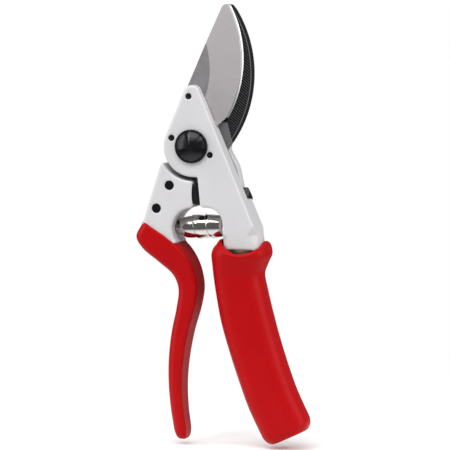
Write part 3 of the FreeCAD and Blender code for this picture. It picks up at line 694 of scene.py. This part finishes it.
# Ribs cut slantwise across the hook's bevelled face. A rib's section gives shares of
# its width and whether the point is on its crest.
RIB_SLANT = math.radians(-40.0)
RIB_PITCH = 1.05 * MM
RIB_WIDTH = 0.40 * MM
RIB_HEIGHT = 0.14 * MM
RIB_ROOT = 0.06 * MM
RIB_END_HEIGHT = 0.35
RIB_SECTION = ((-0.5, False), (-0.22, True), (0.22, True), (0.5, False))
RIB_SPANS = 5
RIB_SHORTEST = 0.6 * MM
RIB_FACET_GAP = 0.1 * MM
RIB_TIP_GAP = 1.6 * MM
RIB_FLOOR = -2.0 * MM
RIB_INDEXES = range(-20, 90)


def circle_exit(start, direction, centre, radius):
    """How far along a ray it leaves a circle, or None if it misses it."""
    offset = start - centre
    along = offset.dot(direction)
    inside = along * along - offset.dot(offset) + radius * radius
    return None if inside < 0 else -along + math.sqrt(inside)


def bevel_depth(point):
    """Depth of the hook's bevelled face at a point across and along."""
    share = ((point - HOOK_CENTRE).length - BEVEL_START) / (BEVEL_END - BEVEL_START)
    return SHEAR_FACE + BEVEL_FALL * max(0.0, share)


def rib_run(index, direction, across):
    """Both ends of one rib on the bevel, or None where there is no room for it."""
    start = across * (RIB_PITCH * index)
    end = circle_exit(start, direction, HOOK_CENTRE, BEVEL_END)
    begin = circle_exit(start, direction, HOOK_EDGE_CENTRE, HOOK_EDGE_RADIUS)
    if end is None or begin is None:
        return None
    clear = FACET_SIDE.dot(FACET_TOP - start) / FACET_SIDE.dot(direction)
    begin = max(begin, clear + RIB_FACET_GAP)
    first, last = start + direction * begin, start + direction * end
    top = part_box("counter_blade")[1][2] - RIB_TIP_GAP
    if end - begin < RIB_SHORTEST or first.y > top or last.y < RIB_FLOOR:
        return None
    return first, last


def rib_rings(first, last, across):
    """Sections along one rib, lower at both ends."""
    rings = []
    for span in range(RIB_SPANS + 1):
        centre = first.lerp(last, span / RIB_SPANS)
        height = RIB_HEIGHT * (RIB_END_HEIGHT if span in (0, RIB_SPANS) else 1.0)
        ring = []
        for sideways, crest in RIB_SECTION:
            spot = centre + across * (RIB_WIDTH * sideways)
            ring.append((spot.x, bevel_depth(spot) - (height if crest else -RIB_ROOT), spot.y))
        rings.append(ring)
    return rings


def hook_ribs():
    direction = Vector((math.cos(RIB_SLANT), math.sin(RIB_SLANT)))
    across = Vector((-direction.y, direction.x))
    points, faces = [], []
    for index in RIB_INDEXES:
        run = rib_run(index, direction, across)
        if run:
            add_tube(points, faces, rib_rings(*run, across))
    mesh = bpy.data.meshes.new("hook_ribs")
    mesh.from_pydata(points, [], faces)
    piece("hook_ribs", mesh, "thumb_side", "hook_coating")
    # The ribs get the lighter coating as a painted highlight.
    mesh.materials[0] = RIB_HIGHLIGHT_COATING
    mesh.polygons.foreach_set("use_smooth", [False] * len(mesh.polygons))


def dress_nodes():
    slots = {row["node"]: row["material_slot"] for row in frame["record"]["subparts"]}
    for name, obj in frame["nodes"].items():
        obj.data.materials.clear()
        obj.data.materials.append(MATERIALS[slots[name]])


# ---- camera, light and floor -------------------------------------------------------
VIEW_AZIMUTH = math.radians(16.4)
VIEW_ELEVATION = math.radians(5.0)
VIEW_WIDTH = 216.0 * MM
VIEW_DISTANCE = 1.6
VIEW_DEPTH = 14.2 * MM
VIEW_RIGHT = 13.44 * MM
VIEW_DOWN = 38.3 * MM
SENSOR = 36.0
LIGHT_TARGET = Vector((0.01, MID_DEPTH, -0.035))
FLOOR_REACH = 0.34
FLOOR_GAP = 2.0 * MM
FADE_START = 0.45
FADE_END = 0.95
AMBIENT = 0.60
AMBIENT_GLOSS = 0.15
# Name, azimuth and elevation in degrees, distance, size, power.
SOFTBOXES = [
    ("left", -66, 16, 0.9, (0.4, 0.9), 4.2),
    ("right", 84, 16, 0.9, (0.4, 0.9), 4.4),
    ("shoulder", 48, 40, 0.9, (0.2, 0.3), 1.2),
    ("top", -6, 58, 0.9, (0.8, 0.4), 5.2),
    ("back", 214, 34, 1.1, (0.7, 0.5), 1.6),
    ("glint", -26, 38, 0.9, (0.05, 0.05), 0.8),
]


def towards(azimuth, elevation):
    """Unit vector from the tool to a place seen at two angles in radians."""
    flat = math.cos(elevation)
    return Vector((math.sin(azimuth) * flat, -math.cos(azimuth) * flat, math.sin(elevation)))


def camera():
    right = Vector((math.cos(VIEW_AZIMUTH), math.sin(VIEW_AZIMUTH), 0))
    back = towards(VIEW_AZIMUTH, VIEW_ELEVATION)
    up = back.cross(right)
    aim = Vector((0, -VIEW_DEPTH, 0)) + right * VIEW_RIGHT - up * VIEW_DOWN
    data = bpy.data.cameras.new("camera")
    data.sensor_width = SENSOR
    data.lens = SENSOR * VIEW_DISTANCE / VIEW_WIDTH
    made = bpy.data.objects.new("camera", data)
    made.location = aim + back * VIEW_DISTANCE
    made.rotation_mode = "QUATERNION"
    made.rotation_quaternion = back.to_track_quat("Z", "Y")
    bpy.context.scene.collection.objects.link(made)
    bpy.context.scene.camera = made


def softbox(name, azimuth, elevation, distance, size, power):
    """Area light aimed at the tool's middle."""
    data = bpy.data.lights.new(name, "AREA")
    data.shape = "RECTANGLE"
    data.size, data.size_y = size
    data.energy = power
    made = bpy.data.objects.new(name, data)
    back = towards(math.radians(azimuth), math.radians(elevation))
    made.location = LIGHT_TARGET + back * distance
    made.rotation_mode = "QUATERNION"
    made.rotation_quaternion = back.to_track_quat("Z", "Y")
    bpy.context.scene.collection.objects.link(made)


def floor():
    """Pale floor under the tool that fades out into the white surround."""
    low = CAD_BOX[0].z - FLOOR_GAP
    mesh = bpy.data.meshes.new("floor")
    corners = [(-FLOOR_REACH, -FLOOR_REACH, low), (FLOOR_REACH, -FLOOR_REACH, low),
               (FLOOR_REACH, FLOOR_REACH, low), (-FLOOR_REACH, FLOOR_REACH, low)]
    mesh.from_pydata(corners, [], [(0, 1, 2, 3)])
    made = bpy.data.objects.new("floor", mesh)
    bpy.context.scene.collection.objects.link(made)
    paint = Paint("floor", (0.92, 0.92, 0.92), 0.7)
    length = paint.node("ShaderNodeVectorMath", operation="LENGTH")
    paint.link(paint.place, length.inputs[0])
    fade = paint.node("ShaderNodeMapRange", interpolation_type="SMOOTHSTEP")
    paint.link(length.outputs["Value"], fade.inputs["Value"])
    fade.inputs["From Min"].default_value = FADE_START * FLOOR_REACH
    fade.inputs["From Max"].default_value = FADE_END * FLOOR_REACH
    clear = paint.node("ShaderNodeBsdfTransparent")
    mix = paint.node("ShaderNodeMixShader")
    paint.link(fade.outputs["Result"], mix.inputs[0])
    paint.link(paint.shader.outputs[0], mix.inputs[1])
    paint.link(clear.outputs[0], mix.inputs[2])
    paint.link(mix.outputs[0], paint.tree.nodes["Material Output"].inputs["Surface"])
    mesh.materials.append(paint.material)


def world():
    """White to the camera, a dimmer even light on the tool, dimmer still in gloss."""
    made = bpy.data.worlds.new("studio")
    made.use_nodes = True
    tree = made.node_tree
    back = tree.nodes["Background"]
    back.inputs["Color"].default_value = (1, 1, 1, 1)
    path = tree.nodes.new("ShaderNodeLightPath")
    level = tree.nodes.new("ShaderNodeMapRange")
    tree.links.new(path.outputs["Is Diffuse Ray"], level.inputs["Value"])
    level.inputs["To Min"].default_value = AMBIENT_GLOSS
    level.inputs["To Max"].default_value = AMBIENT
    strength = tree.nodes.new("ShaderNodeMapRange")
    tree.links.new(path.outputs["Is Camera Ray"], strength.inputs["Value"])
    tree.links.new(level.outputs["Result"], strength.inputs["To Min"])
    strength.inputs["To Max"].default_value = 1.0
    tree.links.new(strength.outputs["Result"], back.inputs["Strength"])
    bpy.context.scene.world = made
    bpy.context.scene.view_settings.view_transform = "Standard"


camera()
world()
for row in SOFTBOXES:
    softbox(*row)
floor()
dress_nodes()
softened("finger_handle_forging", "blade_side", "light_paint", *FORGING_SOFTNESS)
softened("thumb_handle_forging", "thumb_side", "light_paint", *FORGING_SOFTNESS)
grip_sleeves()
softened("stop_bumper", "thumb_side", "bumper_rubber", *BUMPER_SOFTNESS)
softened("latch_pad", "latch", "black_plastic", *PAD_SOFTNESS)
return_spring()
hook_ribs()
